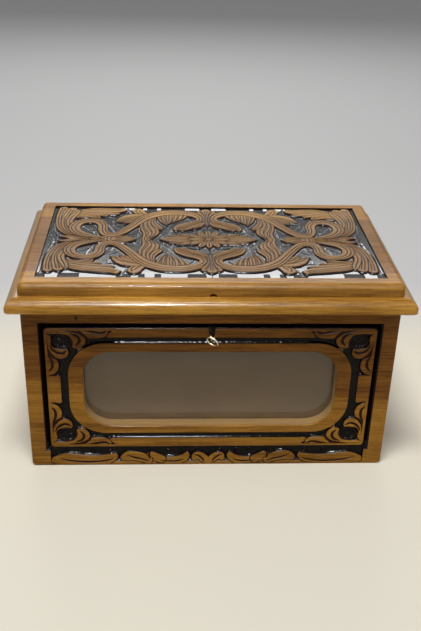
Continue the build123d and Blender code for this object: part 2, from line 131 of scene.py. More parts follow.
class Finish(Recipe):
    """A material while it is made; constants are the shader's values that are the same all over."""

    def __init__(self, name, constants):
        self.material = bpy.data.materials.new(name)
        super().__init__(self.material, "Principled BSDF")
        for socket, value in constants.items():
            self.shader.inputs[socket].default_value = value

    def place(self):
        return self.node("ShaderNodeTexCoord", {}, {}, "Object")

    def axis(self, place, letter):
        return self.node("ShaderNodeSeparateXYZ", {}, {0: place}, letter)

    def scaled(self, place, scale):
        return self.node("ShaderNodeMapping", {}, {"Vector": place, "Scale": scale})

    def noise(self, place, scale, detail=2.0, roughness=0.5, distortion=0.0):
        values = {"Vector": place, "Scale": scale, "Detail": detail, "Roughness": roughness}
        return self.node("ShaderNodeTexNoise", {}, values | {"Distortion": distortion})

    def ease(self, amount, low, high):
        """Goes smoothly from 0 to 1 while amount goes from low to high."""
        values = {"Value": amount, "From Min": low, "From Max": high}
        return self.node("ShaderNodeMapRange", {"interpolation_type": "SMOOTHSTEP"}, values)

    def mix(self, share, first, second):
        """A colour between two, by Mix's sockets for colours: 6 and 7 in, 2 out."""
        return self.node("ShaderNodeMix", {"data_type": "RGBA"}, {0: share, 6: first, 7: second}, 2)

    def distance(self, place, other):
        return self.node("ShaderNodeVectorMath", {"operation": "DISTANCE"}, {0: place, 1: other}, "Value")

    def bump(self, height, distance, strength, below=None):
        values = {"Height": height, "Distance": distance, "Strength": strength}
        if below is not None:
            values["Normal"] = below
        return self.node("ShaderNodeBump", {}, values)


def brightness(shown):
    share = shown / 255
    return share / 12.92 if shown <= 10 else ((share + 0.055) / 1.055) ** 2.4


def tint(red, green, blue):
    """A colour written as it shows on a screen, 0 to 255, made linear."""
    return (brightness(red), brightness(green), brightness(blue), 1.0)


# Walnut: lacquered boards with fibres, pores, broad figure, glued strips, painted shade and sheen, and black
# stain in the cuts

GRAIN_SCALES = {"x": (1.0, 20.0, 20.0), "y": (20.0, 1.0, 20.0)}
HEART = tint(134, 86, 32)
HEART_DARK = tint(72, 43, 14)
SAP = tint(204, 152, 60)
SAP_DARK = tint(128, 82, 22)
STAIN = tint(16, 10, 7)
# Greyish tan of painted sheen and painted light, mixed into the wood where lacquer would catch the room or
# light falls
SHEEN_TINT = tint(150, 128, 92)
CUT_BROWN = tint(44, 21, 9)
# How golden a board without strips is
PLAIN_GOLDEN = 0.45
# Ranges of the noises over which the wood goes from dark to light, and a pore begins
TONE_RANGE = (0.44, 0.9)
PORE_RANGE = (0.60, 0.70)
GROUND_ROUGHNESS = 0.12
TEXTURE_HEIGHT = 0.12 * MM
TEXTURE_STRENGTH = 0.7
# Noises of the wood: scale, detail, roughness and distortion
FIBRES = (28.0, 7.0, 0.66, 0.35)
FIGURE = (3.4, 3.0, 0.5, 1.4)
CLOUDS = (9.0, 2.0, 0.5, 0.3)
PORES = (210.0, 2.0, 0.5)
RIPPLE = (150.0, 3.0, 0.7)
PUNCHED = (320.0, 1.0, 0.4)
GOUGED = (150.0, 1.0, 0.4)
# Depths below the face over which the wood turns brown in a cut, and black on the ground
EDGE_DEPTHS = (0.12 * MM, 0.5 * MM)
GROUND_DEPTHS = (0.8 * MM, 1.4 * MM)
# A knot is a little higher than wide; it darkens between these distances from its middle
KNOT_SQUASH = 0.7
KNOT_EDGES = (2.2 * MM, 0.8 * MM)
KNOT_DARKNESS = 0.85


def walnut(name, grain, golden=None, cut=None, lacquer=0.2, satin=0.36, gloss=0.12, pooled=0.0, punch=0.0,
           knot=None, painted_light=None):
    """Walnut whose colours change with the place on the board.

    golden(finish, x, y, z) gives 1 on the pale golden strips, cut gives how deep below the face a place
    lies, and the last argument how far painted sheen and painted light turn the wood a greyish tan. lacquer
    is the weight of the clear coat on the wood, and pooled its weight in the stained ground, whose gouged
    surface is as uneven as punch, in metres. knot is the x and z of a small dark knot.
    """
    finish = Finish(name, {"Coat Weight": lacquer, "Coat Roughness": 0.05, "Coat IOR": 1.5,
                           "Specular IOR Level": gloss})
    place = finish.place()
    x, y, z = [finish.axis(place, letter) for letter in "XYZ"]
    along = finish.scaled(place, GRAIN_SCALES[grain])
    fibres = finish.noise(along, *FIBRES)
    figure = finish.noise(along, *FIGURE)
    clouds = finish.noise(place, *CLOUDS)
    pores = finish.ease(finish.noise(finish.scaled(along, (0.55, 0.55, 0.55)), *PORES), *PORE_RANGE)
    tone = finish.ease(fibres * 0.7 + figure * 0.34 + clouds * 0.3, *TONE_RANGE)
    heart = finish.mix(tone, HEART_DARK, HEART)
    sap = finish.mix(tone, SAP_DARK, SAP)
    share = PLAIN_GOLDEN if golden is None else golden(finish, x, y, z)
    wood = finish.mix(share, heart, sap)
    if painted_light is not None:
        # Painted sheen and painted light: the wood is turned greyish tan by the given share
        wood = finish.mix(painted_light(finish, x, y, z), wood, SHEEN_TINT)
    wood = finish.mix(pores * 0.45, wood, CUT_BROWN)
    if knot is not None:
        middle = (knot[0], 0.0, KNOT_SQUASH * knot[1])
        away = finish.distance(finish.scaled(place, (1.0, 0.0, KNOT_SQUASH)), middle)
        wood = finish.mix(finish.ease(away, *KNOT_EDGES) * KNOT_DARKNESS, wood, STAIN)
    rough = satin + 0.04 - fibres * 0.08
    ripple = finish.noise(place, *RIPPLE)
    texture = fibres * 0.4 - pores * 0.6 + ripple * 1.6
    if cut is None:
        normal = finish.bump(texture, TEXTURE_HEIGHT, TEXTURE_STRENGTH)
    else:
        depth = cut(finish, x, y, z)
        edge = finish.ease(depth, *EDGE_DEPTHS)
        ground = finish.ease(depth, *GROUND_DEPTHS)
        normal = finish.bump(texture * (1 - edge), TEXTURE_HEIGHT, TEXTURE_STRENGTH)
        wood = finish.mix(edge, wood, CUT_BROWN)
        wood = finish.mix(ground, wood, STAIN)
        rough = rough + ground * (GROUND_ROUGHNESS - satin)
        punched = finish.noise(place, *PUNCHED)
        gouged = finish.noise(place, *GOUGED)
        normal = finish.bump((punched * 0.4 + gouged) * ground, punch, 1.0, normal)
        finish.feed("Coat Weight", (1 - edge) * lacquer + ground * pooled)
    finish.feed("Base Color", wood)
    finish.feed("Roughness", rough)
    finish.feed("Normal", normal)
    return finish.material


# Where the lid's colours lie: its carved field, greyed by a painted sheen, and the glue lines of its border
# strips

LID_FACE = 216 * MM
LID_FIELD_X = 173.3 * MM
LID_FIELD_FRONT = -94.3 * MM
LID_FIELD_BACK = 95.8 * MM
LID_FIELD_FLOOR = 212.5 * MM
LID_GLUE_BACK = (61 * MM, 65 * MM)
LID_GLUE_FRONT = (-78 * MM, -82 * MM)


def in_lid_field(x, y, z):
    return (abs(x) < LID_FIELD_X) * (y > LID_FIELD_FRONT) * (y < LID_FIELD_BACK) * (z > LID_FIELD_FLOOR)


def lid_strips(finish, x, y, z):
    wander = finish.noise(finish.scaled(finish.place(), (2.0, 10.0, 1.0)), 2.0) * (4 * MM)
    back = finish.ease(y + wander, *LID_GLUE_BACK)
    front = finish.ease(y + wander, *LID_GLUE_FRONT)
    blotches = 0.4 + finish.noise(finish.place(), 8.0) * 0.6
    return (back.most(front) * blotches).most(0.16)


# Painted sheen: the carved field is turned greyish tan, as grey reflections in its lacquer would turn it
def lid_painted_sheen(finish, x, y, z):
    return in_lid_field(x, y, z) * 0.3


def lid_cut(finish, x, y, z):
    return (LID_FACE - z) * in_lid_field(x, y, z)


# The cornice: golden in front and behind, browner at the sides, with a painted grey sheen on top of the side
# rails

# Heights over which a painted grey sheen comes on at the top of the side rails
SHEEN_HEIGHTS = (190 * MM, 198 * MM)


def golden_rail(finish, x, y, z):
    return 1.0 - finish.noise(finish.place(), 6.0) * 0.2


def brown_rail(finish, x, y, z):
    return 0.3 + finish.noise(finish.place(), 6.0) * 0.3


# Painted sheen: the side rails turn greyish tan towards their tops
def rail_painted_sheen(finish, x, y, z):
    return finish.ease(z, *SHEEN_HEIGHTS) * 0.5


# The front of the case and the drawer: stained cuts, the window's hole, whose walls get painted light, and
# one glue line over both, darker above partly by painted shade

FRONT_FACE = -108.5 * MM
FRONT_KNOT = (-133.3 * MM, 178.5 * MM)
HOLE_X = 133.5 * MM
HOLE_FOOT = 46.5 * MM
HOLE_TOP = 143.5 * MM
# How deep into the window's hole its walls get painted light
HOLE_RIM = 4 * MM
CUT_X = 173.2 * MM
CUT_FOOT = 1.5 * MM
CUT_TOP = 174.5 * MM
CUT_REACH = 7.5 * MM
STILE_X = -162 * MM
GLUE_SLOPE = 0.068
GLUE_HEIGHTS = (99 * MM, 97 * MM)


def in_window_hole(x, z):
    return (abs(x) < HOLE_X) * (z > HOLE_FOOT) * (z < HOLE_TOP)


# Painted light: the walls of the window's hole are lightened to a pale tan, as the lit lower wall
def hole_painted_light(finish, x, y, z):
    return in_window_hole(x, z) * finish.ease(y - FRONT_FACE, 0.0, HOLE_RIM) * 0.7


def front_strips_and_shade(finish, x, y, z):
    """Golden below a glue line that falls from left to right; above it the left stile is the brownest.
    The wood above the line is darker partly by the boards' tone and partly by painted shade under the
    cornice.
    """
    wander = finish.noise(finish.scaled(finish.place(), (3.0, 1.0, 14.0)), 3.0) * (6 * MM)
    below = finish.ease(z + x * GLUE_SLOPE + wander, *GLUE_HEIGHTS)
    # Painted shade: the share above the glue line is kept low, for the boards' tone and the shade under the
    # cornice
    return 0.05 * (x > STILE_X) + 0.4 * below


def front_cut(finish, x, y, z):
    depth = y - FRONT_FACE
    panel = (abs(x) < CUT_X) * (z > CUT_FOOT) * (z < CUT_TOP) * (depth < CUT_REACH)
    return depth * panel * (1 - in_window_hole(x, z))


# Carving: a face is cut down to its ground, and overlapping lobes, veins and fine ridges are left in it


def smooth(amount):
    amount = np.clip(amount, 0.0, 1.0)
    return amount * amount * (3.0 - 2.0 * amount)


# How far apart the samples of a line lie, and their least half width
STEP = 1.0
NARROWEST = 0.05


def samples(points):
    """Close samples of a smooth line through given points, each (x, y, half width)."""
    knots = np.array(points, dtype=float)
    knots = np.vstack([2 * knots[0] - knots[1], knots, 2 * knots[-1] - knots[-2]])
    runs = []
    for before, start, end, after in zip(knots, knots[1:], knots[2:], knots[3:]):
        count = max(2, int(np.hypot(*(end - start)[:2]) / STEP))
        t = np.arange(count)[:, None] / count
        linear = end - before
        square = 2 * before - 5 * start + 4 * end - after
        cubic = 3 * start - before - 3 * end + after
        runs.append(start + 0.5 * (linear * t + square * t**2 + cubic * t**3))
    line = np.vstack(runs + [knots[-2][None]])
    line[:, 2] = np.maximum(line[:, 2], NARROWEST)
    return line


class Carving:
    """Heights in mm over the places of a grid: 0 on the face, -depth on the ground."""

    # Depth of the line round a lobe, width of a lobe's rounded edge and of the wall below it
    GROOVE = 0.66
    BEVEL = 0.9
    WALL = 1.0
    # Depth of a vein, width of its sloping side, and half width of a streak on the widest lobes
    VEIN = 0.75
    VEIN_SIDE = 0.35
    STREAK = 0.62
    # Half width from which a lobe's streaks have their full width
    FULL_STREAK = 2.6
    # Heights and rounded sides of a ridge on the ground and of a drop
    RIDGE = (0.7, 0.8)
    DROP = (2.2, 2.0)
    # Gouge's marks in a groove: height, pace in radians per mm, and how far and how fast it sways
    MARK = 0.26
    MARK_PACE = 1.25
    MARK_SWAY = 1.1
    SWAY_PACE = 0.31
    # Width of a ramp's sloping sides
    RAMP_SIDE = 1.5
    # Height of the flutes in a hollow, and how many there are
    FLUTE = 0.9
    FLUTES = 9

    def __init__(self, across, up, depth):
        self.across = across
        self.up = up
        self.depth = depth
        self.height = np.full(across.shape, -depth)

    def reach(self, points, margin):
        """Which places lie near the line, and how far inside its width each of them is."""
        line = samples(points)
        wide = line[:, 2].max() + margin
        near = (self.across > line[:, 0].min() - wide) & (self.across < line[:, 0].max() + wide)
        near &= (self.up > line[:, 1].min() - wide) & (self.up < line[:, 1].max() + wide)
        across = self.across[near]
        up = self.up[near]
        inside = np.full(across.shape, -1000.0)
        for (ax, ay, a_wide), (bx, by, b_wide) in zip(line[:-1], line[1:]):
            dx = bx - ax
            dy = by - ay
            share = np.clip(((across - ax) * dx + (up - ay) * dy) / (dx * dx + dy * dy + 1e-9), 0.0, 1.0)
            away = np.hypot(across - ax - share * dx, up - ay - share * dy)
            inside = np.maximum(inside, a_wide + (b_wide - a_wide) * share - away)
        return near, inside

    def lobe(self, points):
        near, inside = self.reach(points, self.WALL + 0.2)
        top = -self.GROOVE * (1 - smooth(inside / self.BEVEL))
        older = np.minimum(self.height[near], -self.GROOVE * smooth(1.25 * (1 + inside / self.BEVEL)))
        wall = -self.depth + (self.depth - self.GROOVE) * (1 - smooth(-inside / self.WALL))
        self.height[near] = np.where(inside > 0, top, np.maximum(older, wall))

    def vein(self, points):
        near, inside = self.reach(points, 0.1)
        older = self.height[near]
        cut = older - self.VEIN * np.clip(inside / self.VEIN_SIDE, 0.0, 1.0)
        cut = np.maximum(cut, np.minimum(older, -self.VEIN))
        self.height[near] = np.where((inside > 0) & (older > -0.7 * self.depth), cut, older)

    def streaks(self, points, shares):
        """Veins that follow a lobe; a share of its half width sets how far to its left each runs."""
        line = samples(points)
        heading = np.gradient(line[:, :2], axis=0)
        left = heading[:, ::-1] * (-1, 1) / np.hypot(*heading.T)[:, None]
        for share in shares:
            path = line[:, :2] + left * line[:, 2:] * share
            widths = self.STREAK * smooth(np.minimum(line[:, 2] / self.FULL_STREAK, 1.0))
            knots = np.column_stack([path, widths])
            self.vein(np.vstack([knots[:-1:4], knots[-1:]]))

    def ridge(self, points, high, round_over):
        near, inside = self.reach(points, 0.1)
        raised = -self.depth + high * smooth(inside / round_over)
        self.height[near] = np.where(inside > 0, np.maximum(self.height[near], raised), self.height[near])

    def ramp(self, left, right, start, climb):
        """The ground climbs towards the rim between two places across."""
        from_left = smooth((self.across - left) / self.RAMP_SIDE)
        from_right = smooth((right - self.across) / self.RAMP_SIDE)
        lifted = -self.depth + climb * (from_left * from_right) * np.maximum(0.0, self.up - start)
        self.height = np.maximum(self.height, np.minimum(lifted, -self.GROOVE))

    def channel(self, middle, half, along):
        """A round groove along one axis, 0 for across and 1 for up, with the gouge's marks in it."""
        run, beside = (self.across, self.up) if along == 0 else (self.up, self.across)
        away = np.clip(np.abs(beside - middle) / half, 0.0, 1.0)
        round_bottom = 1 - np.sqrt(1 - away * away)
        turn = self.MARK_PACE * run + self.MARK_SWAY * np.sin(self.SWAY_PACE * run)
        marks = self.MARK * (1 - away * away) * (1 + np.cos(turn)) / 2
        self.height = -self.depth + (self.depth - self.GROOVE) * round_bottom + marks

    def bowl(self, x, y, wide, high):
        """An oval hollow with gouge cuts that run to its middle; wide and high are its half sizes."""
        share = np.hypot((self.across - x) / wide, (self.up - y) / high)
        turn = np.arctan2(self.up - y, self.across - x)
        dome = 0.5 * self.depth * (1 - smooth(share / 0.6))
        flute = self.FLUTE * smooth(share / 0.4) * (1 + np.cos(self.FLUTES * turn)) / 2
        rim = (self.depth - self.GROOVE) * smooth((share - 0.7) / 0.3)
        bottom = -self.depth + dome + flute + rim
        self.height = np.where(share < 1, np.minimum(bottom, -self.GROOVE), self.height)

    def cut(self, lobes=(), veins=(), ridges=(), bowls=(), drops=(), ramps=(), channel=None, streaked=False):
        if channel is not None:
            self.channel(*channel)
        for points in ridges:
            self.ridge(points, *self.RIDGE)
        for points in drops:
            self.ridge(points, *self.DROP)
        for place in ramps:
            self.ramp(*place)
        for points in lobes:
            self.lobe(points)
            if streaked:
                widest = max(half for across, up, half in points)
                self.streaks(points, next(shares for least, shares in STREAKS if widest >= least))
        for points in veins:
            self.vein(points)
        for place in bowls:
            self.bowl(*place)


# Grid of a carved skin, and how far its skirt goes into the solid below it
GRID = 0.5
SKIRT = 0.02
# A lobe's streaks, by its least widest half width: how far to its left each runs
STREAKS = [(6.3, (-0.12, 0.5)), (4.9, (-0.3, 0.3)), (2.7, (0.0,)), (0.0, ())]


def relief_piece(name, body, material, field, depth, fold, design, to_face, keep=None):
    """A carved skin: a grid raised to the design's heights, with a skirt down to the ground of the solid.

    field is the grid's left, right, low and high. fold gives the place in the design of a place on the face,
    and keep says which places of the grid stay.
    """
    left, right, low, high = field
    bm = bmesh.new()
    columns = round((right - left) / GRID)
    rows = round((high - low) / GRID)
    bmesh.ops.create_grid(bm, x_segments=columns, y_segments=rows, size=0.5)
    bmesh.ops.scale(bm, vec=(right - left, high - low, 1.0), verts=bm.verts)
    bmesh.ops.translate(bm, vec=((left + right) / 2, (low + high) / 2, 0.0), verts=bm.verts)
    if keep is not None:
        outside = [v for v in bm.verts if not keep(v.co.x, v.co.y)]
        bmesh.ops.delete(bm, geom=outside, context="VERTS")
    places = np.array([v.co[:2] for v in bm.verts])
    across, up = fold(places[:, 0], places[:, 1])
    carving = Carving(across, up, depth)
    carving.cut(**design)
    for v, height in zip(bm.verts, carving.height):
        v.co.z = height
    rim = [e for e in bm.edges if e.is_boundary]
    skirt = bmesh.ops.extrude_edge_only(bm, edges=rim)["geom"]
    for v in skirt:
        if isinstance(v, bmesh.types.BMVert):
            v.co.z = -depth - SKIRT
    bmesh.ops.holes_fill(bm, edges=[e for e in bm.edges if e.is_boundary])
    bmesh.ops.transform(bm, matrix=to_face, verts=bm.verts)
    bmesh.ops.recalc_face_normals(bm, faces=bm.faces)
    for face in bm.faces:
        face.smooth = True
    mesh = bpy.data.meshes.new(name)
    bm.to_mesh(mesh)
    bm.free()
    piece = bpy.data.objects.new(name, mesh)
    bpy.context.collection.objects.link(piece)
    mesh.materials.append(material)
    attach(piece, body)


# The lid's carving, drawn for its back left quarter

LID_MIDDLE = 0.75
LID_LOBES = [
    # left centre leaves, behind the crossing
    [(-120, 3, 4.0), (-133, 5.5, 4.2), (-143, 9.5, 4.0), (-151, 13, 2.6), (-157, 17, 0.8)],
    [(-120, 1, 4.0), (-134, 1.5, 4.6), (-145, 4, 4.2), (-152, 6.5, 2.8), (-159, 7, 0.8)],
    # crossing and its right leaf
    [(-120, 0.75, 8.0), (-110, 0.75, 8.0), (-101, 0.75, 6.0)],
    [(-104, 3, 4.5), (-96, 4, 5.4), (-90, 6, 3.4), (-87, 9.2, 0.8)],
    [(-100, 0.75, 5.0), (-91, 0.75, 6.6), (-84.5, 0.75, 5.0), (-78, 0.75, 0.8)],
    # top-corner leaf, its lobes from the lowest up
    [(-153, 58, 2.0), (-145, 64.5, 4.4), (-135, 67.5, 5.4), (-127.5, 66, 5.4), (-122, 61, 3.2),
     (-120.3, 56, 0.6)],
    [(-152, 62, 3.0), (-143, 69, 6.0), (-131, 73, 7.0), (-120, 73, 6.2), (-114.5, 69, 3.6),
     (-112.5, 66, 1.0)],
    [(-151, 66, 3.0), (-142, 73.5, 6.4), (-129, 78, 8.0), (-115, 78.5, 7.4), (-105, 75.5, 5.0),
     (-98.5, 73, 1.2)],
    [(-150, 70, 3.0), (-141, 77.5, 5.8), (-129, 82.5, 6.8), (-115, 83.5, 6.6), (-103, 82.5, 6.6),
     (-95.5, 84.5, 5.0)],
    # corner fan strands, outside in
    [(-122, 4, 1.0), (-139, 8, 2.8), (-152, 16.5, 3.8), (-159.5, 29, 4.6), (-163, 45, 4.6),
     (-164.2, 61, 4.4), (-163.8, 76, 4.6), (-162.3, 87.5, 5.2)],
    [(-122, 5, 1.0), (-136, 10, 2.8), (-147, 18.5, 3.8), (-154, 31, 4.4), (-157, 46, 4.6),
     (-157, 60, 4.6), (-154.5, 74, 5.2), (-152.3, 84.5, 5.6)],
    [(-146, 28, 2.0), (-151, 38, 3.4), (-152.5, 50, 4.0), (-150.8, 62, 4.0), (-147.5, 72, 3.8),
     (-145.5, 80.5, 3.2)],
    # club leaf and side leaf
    [(-67, 66, 4.5), (-73.5, 74, 6.4), (-77.2, 81, 7.0), (-77.2, 82, 7.0)],
    [(-68, 67, 3.5), (-77, 65.5, 6.4), (-86, 61.5, 8.6), (-93.5, 56, 6.4), (-98, 51.5, 3.2),
     (-102, 47.5, 0.6)],
    [(-70, 61, 3.5), (-78, 57.5, 6.0), (-85, 52.5, 5.6), (-89.5, 48, 3.0), (-92, 44, 0.8)],
    # waist leaf, its strands from the left
    [(-64, 62, 3.0), (-69, 52, 3.4), (-71.3, 42, 3.0), (-70.8, 30, 3.2), (-67.8, 19, 3.4),
     (-67, 10, 3.8), (-68.3, 0.75, 3.8)],
    [(-62, 62, 2.5), (-65.5, 52, 3.4), (-67, 41, 3.4), (-65.3, 30, 3.6), (-61.5, 20, 3.6),
     (-61.5, 11, 3.6), (-66, 2.5, 2.8)],
    [(-60, 60, 2.5), (-62.5, 50, 3.2), (-62.3, 40, 3.4), (-58.8, 30.5, 4.0), (-56.8, 20.5, 4.0),
     (-58.3, 12, 3.0), (-62, 5.5, 1.0)],
    [(-58.5, 60, 1.8), (-59.5, 49, 2.8), (-57.5, 40.5, 3.6), (-53.6, 33.5, 3.8), (-50.2, 28.2, 1.4)],
    # fan leaf inside the great scroll
    [(-24, 72, 4.0), (-26, 66, 4.0), (-28, 60, 2.6), (-30, 54.5, 0.6)],
    [(-30, 72, 3.6), (-31, 64.5, 4.0), (-33, 57, 3.2), (-36, 50, 0.8)],
    [(-53, 70, 2.2), (-52.2, 61, 3.0), (-50, 52, 2.8), (-46.5, 44, 1.6), (-44.5, 39, 0.5)],
    [(-36, 72, 3.2), (-36.5, 63.5, 3.6), (-37.5, 55, 3.2), (-40.5, 47.5, 1.0)],
    [(-47.6, 72, 2.6), (-47.6, 62, 3.0), (-46.4, 52, 2.8), (-44.5, 42.5, 0.8)],
    [(-42, 72, 2.8), (-42.2, 63, 3.2), (-42, 54, 3.0), (-43, 44.5, 1.0)],
    # tail of the great scroll, lower lobes first
    [(-3, 50, 2.5), (-5.2, 43.5, 3.0), (-9, 38.5, 3.6), (-13.5, 33.8, 2.0)],
    [(-4, 52, 3.0), (-8.5, 44, 5.0), (-16, 38, 5.4), (-22.5, 32.5, 4.8), (-27.8, 27.5, 3.2)],
    # side scroll, great scroll and tail in one run
    [(-114, 4, 2.6), (-127, 8.5, 5.0), (-138.5, 16, 6.0), (-145, 28, 6.4), (-144, 40.5, 6.4),
     (-138, 49, 6.2), (-129, 52, 5.8), (-120, 48.5, 6.0), (-114.8, 38, 5.8), (-114.3, 25, 5.4),
     (-110.5, 14.5, 5.4), (-102, 12.2, 5.0), (-93.6, 19, 5.2), (-86.5, 30, 5.4), (-81, 40, 5.6),
     (-75.8, 50, 6.0), (-69.5, 60, 6.6), (-61, 68.5, 7.2), (-50, 75, 7.4), (-37, 77.6, 7.0),
     (-23.5, 76, 6.8), (-12.5, 70, 6.2), (-7, 61.5, 5.4), (-8.6, 53.2, 4.6), (-15.5, 47, 4.4),
     (-23.5, 42.4, 4.8), (-30.3, 36.4, 4.8), (-34, 29.8, 3.8), (-34.6, 27.5, 3.0)],
    # centre palmette
    [(-0.8, 41, 0.8), (-1.9, 55, 1.6), (-2.2, 65, 2.2), (-4.6, 74, 3.6), (-7, 80, 4.0)],
    [(0, 36, 0.4), (0, 50, 1.3), (0, 64, 1.8), (0, 75, 3.2), (0, 82.5, 5.6)],
    # diamond leaf beside the flower
    [(-12, 4, 3.0), (-20, 8, 5.0), (-26, 10, 4.6), (-30.5, 12.5, 2.6), (-34, 15.5, 0.6)],
    [(-24, 3.5, 4.0), (-33, 5, 5.4), (-38, 7.5, 3.6), (-42, 11, 0.8)],
    [(-18, 0.75, 4.0), (-30, 0.75, 5.2), (-40, 0.75, 6.2), (-46, 0.75, 4.0), (-52, 0.75, 0.5)],
    # flower
    [(-3, 0.75, 1.6), (-10, 0.75, 3.4), (-16, 0.75, 3.8), (-21, 0.75, 1.6)],
    [(-3, 3, 1.4), (-9.5, 6.5, 3.2), (-15, 10, 3.8), (-18.5, 13, 1.8)],
    [(-2, 4, 1.2), (-5, 10, 2.8), (-8, 16, 3.6), (-9.5, 20.5, 1.8)],
    [(0, 4, 1.2), (0, 11, 2.4), (0, 18, 3.4), (0, 23.5, 1.4)],
    [(0, 0.75, 3.4), (-0.1, 0.75, 3.4)],
]
LID_VEINS = [
    # crossing
    [(-104, 0.75, 0.4), (-92, 0.75, 0.9), (-82, 0.75, 0.3)],
    [(-102, 4.5, 0.3), (-95, 4.8, 0.7), (-89.5, 7.5, 0.3)],
    [(-118, 4.2, 0.3), (-130, 4.6, 0.8), (-142, 8, 0.8), (-152, 12.5, 0.3)],
    [(-124, 1.2, 0.3), (-136, 1.6, 0.8), (-148, 5, 0.3)],
]
LID_RIDGES = [
    [(-169.5, 95, 0.9), (-168.8, 85, 0.9), (-169.3, 60, 0.9), (-168.6, 42, 0.9), (-166.8, 27, 0.9),
     (-165.5, 12, 0.9), (-164.2, 4, 0.9), (-162.4, 3, 0.9), (-160.8, 10, 0.9), (-161.3, 20, 0.9),
     (-164.5, 25, 0.9)],
    [(-90.5, 93, 0.9), (-87.5, 85, 0.9), (-85, 77, 0.7)],
    [(-108.5, 42, 0.7), (-104, 32, 0.9), (-100.5, 20, 0.7)],
    [(-105, 62, 0.7), (-104, 53, 0.9), (-99, 45, 0.7)],
    [(-77, 10, 0.7), (-75.8, 22, 0.9), (-75.5, 34, 0.7)],
    [(-54, 24, 0.7), (-50.5, 14, 0.9), (-48, 4, 0.7)],
    [(-40, 31, 0.7), (-42, 22, 0.9), (-37.5, 11, 0.7)],
    [(-44, 37, 0.7), (-44.6, 28, 0.7)],
    # gouge marks that run out from the leaves over the ground
    [(-168.5, 30, 0.4), (-163, 24, 0.8), (-157, 22, 0.4)],
    [(-168.5, 14, 0.4), (-163, 13, 0.8), (-156, 15, 0.4)],
    [(-137, 40, 0.4), (-131, 33, 0.8), (-127, 27, 0.8), (-122, 24, 0.4)],
    [(-128, 44, 0.4), (-127, 34, 0.8), (-123, 20, 0.4)],
    [(-108, 66, 0.4), (-100, 64, 0.8), (-90, 68, 0.8), (-84, 74, 0.4)],
    [(-104, 42, 0.4), (-98, 36, 0.8), (-93, 31, 0.4)],
    [(-94, 14, 0.4), (-84, 17, 0.8), (-75, 16, 0.4)],
    [(-86, 22, 0.4), (-82, 30, 0.8), (-76, 40, 0.4)],
    [(-80, 6, 0.4), (-76, 14, 0.8), (-75, 24, 0.4)],
    [(-56, 8, 0.4), (-50, 12, 0.8), (-44, 20, 0.8), (-40, 26, 0.4)],
    [(-53, 34, 0.4), (-48, 33, 0.8), (-43, 34, 0.4)],
    [(-30, 24, 0.4), (-22, 24, 0.8), (-14, 28, 0.4)],
    [(-27, 18, 0.4), (-17, 24, 0.8), (-8, 28, 0.4)],
    [(-24, 66, 0.4), (-19, 59, 0.8), (-16, 53, 0.4)],
]
# Where the ground climbs to the rim: left, right, start and how steep
LID_RAMPS = [
    (-175, -163.5, 92, 0.08),
    (-151.5, -130.5, 93, 0.08),
    (-94.5, -80, 88, 0.08),
    (-73, -66.5, 88, 0.08),
    (-57, -50.5, 88, 0.08),
    (-24.5, -6, 88, 0.08),
]
# The front half is lower than the back: its share of the height, from the sides to the middle
SQUEEZE_PLACES = (-125.0, -95.0)
SQUEEZES = (0.885, 0.955)
LID_DEPTH = 1.86
LID_CARVED_X = 172.95
LID_CARVED_FRONT = -93.95
LID_CARVED_BACK = 95.45
ON_LID = Matrix.Translation((0.0, 0.0, LID_FACE)) @ Matrix.Scale(MM, 4)
LID_DESIGN = {"lobes": LID_LOBES, "veins": LID_VEINS, "ridges": LID_RIDGES, "ramps": LID_RAMPS,
              "streaked": True}


def fold_lid(x, y):
    side = -np.abs(x)
    up = y - LID_MIDDLE
    return side, LID_MIDDLE + np.where(up > 0, up, -up / np.interp(side, SQUEEZE_PLACES, SQUEEZES))


def carve_lid(material):
    halves = {"back": (LID_MIDDLE, LID_CARVED_BACK), "front": (LID_CARVED_FRONT, LID_MIDDLE)}
    sides = {"left": (-LID_CARVED_X, 0.0), "right": (0.0, LID_CARVED_X)}
    for half, heights in halves.items():
        for side, widths in sides.items():
            relief_piece(f"lid_carving_{half}_{side}", "lid", material, (*widths, *heights),
                         LID_DEPTH, fold_lid, LID_DESIGN, ON_LID)


# Corner leaves of the drawer front, drawn once for the top left corner

FRONT_DEPTH = 2.95
TO_FRONT = Matrix(((1, 0, 0, 0), (0, 0, -1, 0), (0, 1, 0, 0), (0, 0, 0, 1)))
ON_FRONT = Matrix.Translation((0.0, FRONT_FACE, 0.0)) @ TO_FRONT @ Matrix.Scale(MM, 4)
CORNER_MIDDLE = 95.75
CORNER_FIELDS = {"left": (-162.95, -98.35), "right": (98.35, 162.95)}
CORNER_LEVELS = {"top": (112.05, 164.45), "bottom": (27.05, 80.45)}
CORNER_LOBES = [
    # ends of the plain band
    [(-92, 161, 4.4), (-97.5, 160.4, 4.0), (-101.5, 158.8, 2.4), (-103.8, 157.8, 0.8)],
    [(-158, 107.5, 4.8), (-154.8, 109, 3.8)],
    # side leaf
    [(-164, 116.2, 4.4), (-161, 122, 8.0), (-160.2, 127, 7.4), (-162, 134, 5.6), (-164, 142, 4.4),
     (-165, 152, 4.4), (-164, 162, 4.4)],
    # long leaf
    [(-152, 166, 4.6), (-136, 163.6, 5.2), (-125, 161.6, 5.6), (-115, 160.3, 5.0), (-107.5, 161, 4.0),
     (-104.3, 163, 2.0)],
    # lobe on the inner side of the eye
    [(-136.6, 146.6, 2.2), (-133, 149.2, 5.2), (-131.4, 153.5, 6.8), (-134, 158.5, 6.4),
     (-140, 163.4, 5.0), (-150, 165.6, 5.0), (-160, 165, 4.6)],
    # hooked lobe over the eye
    [(-164, 156, 5.4), (-163, 147, 4.2), (-158, 140.2, 5.0), (-152.8, 138, 6.0), (-148.2, 138, 5.4),
     (-145.6, 139.8, 3.6), (-144.6, 141.6, 2.2)],
]
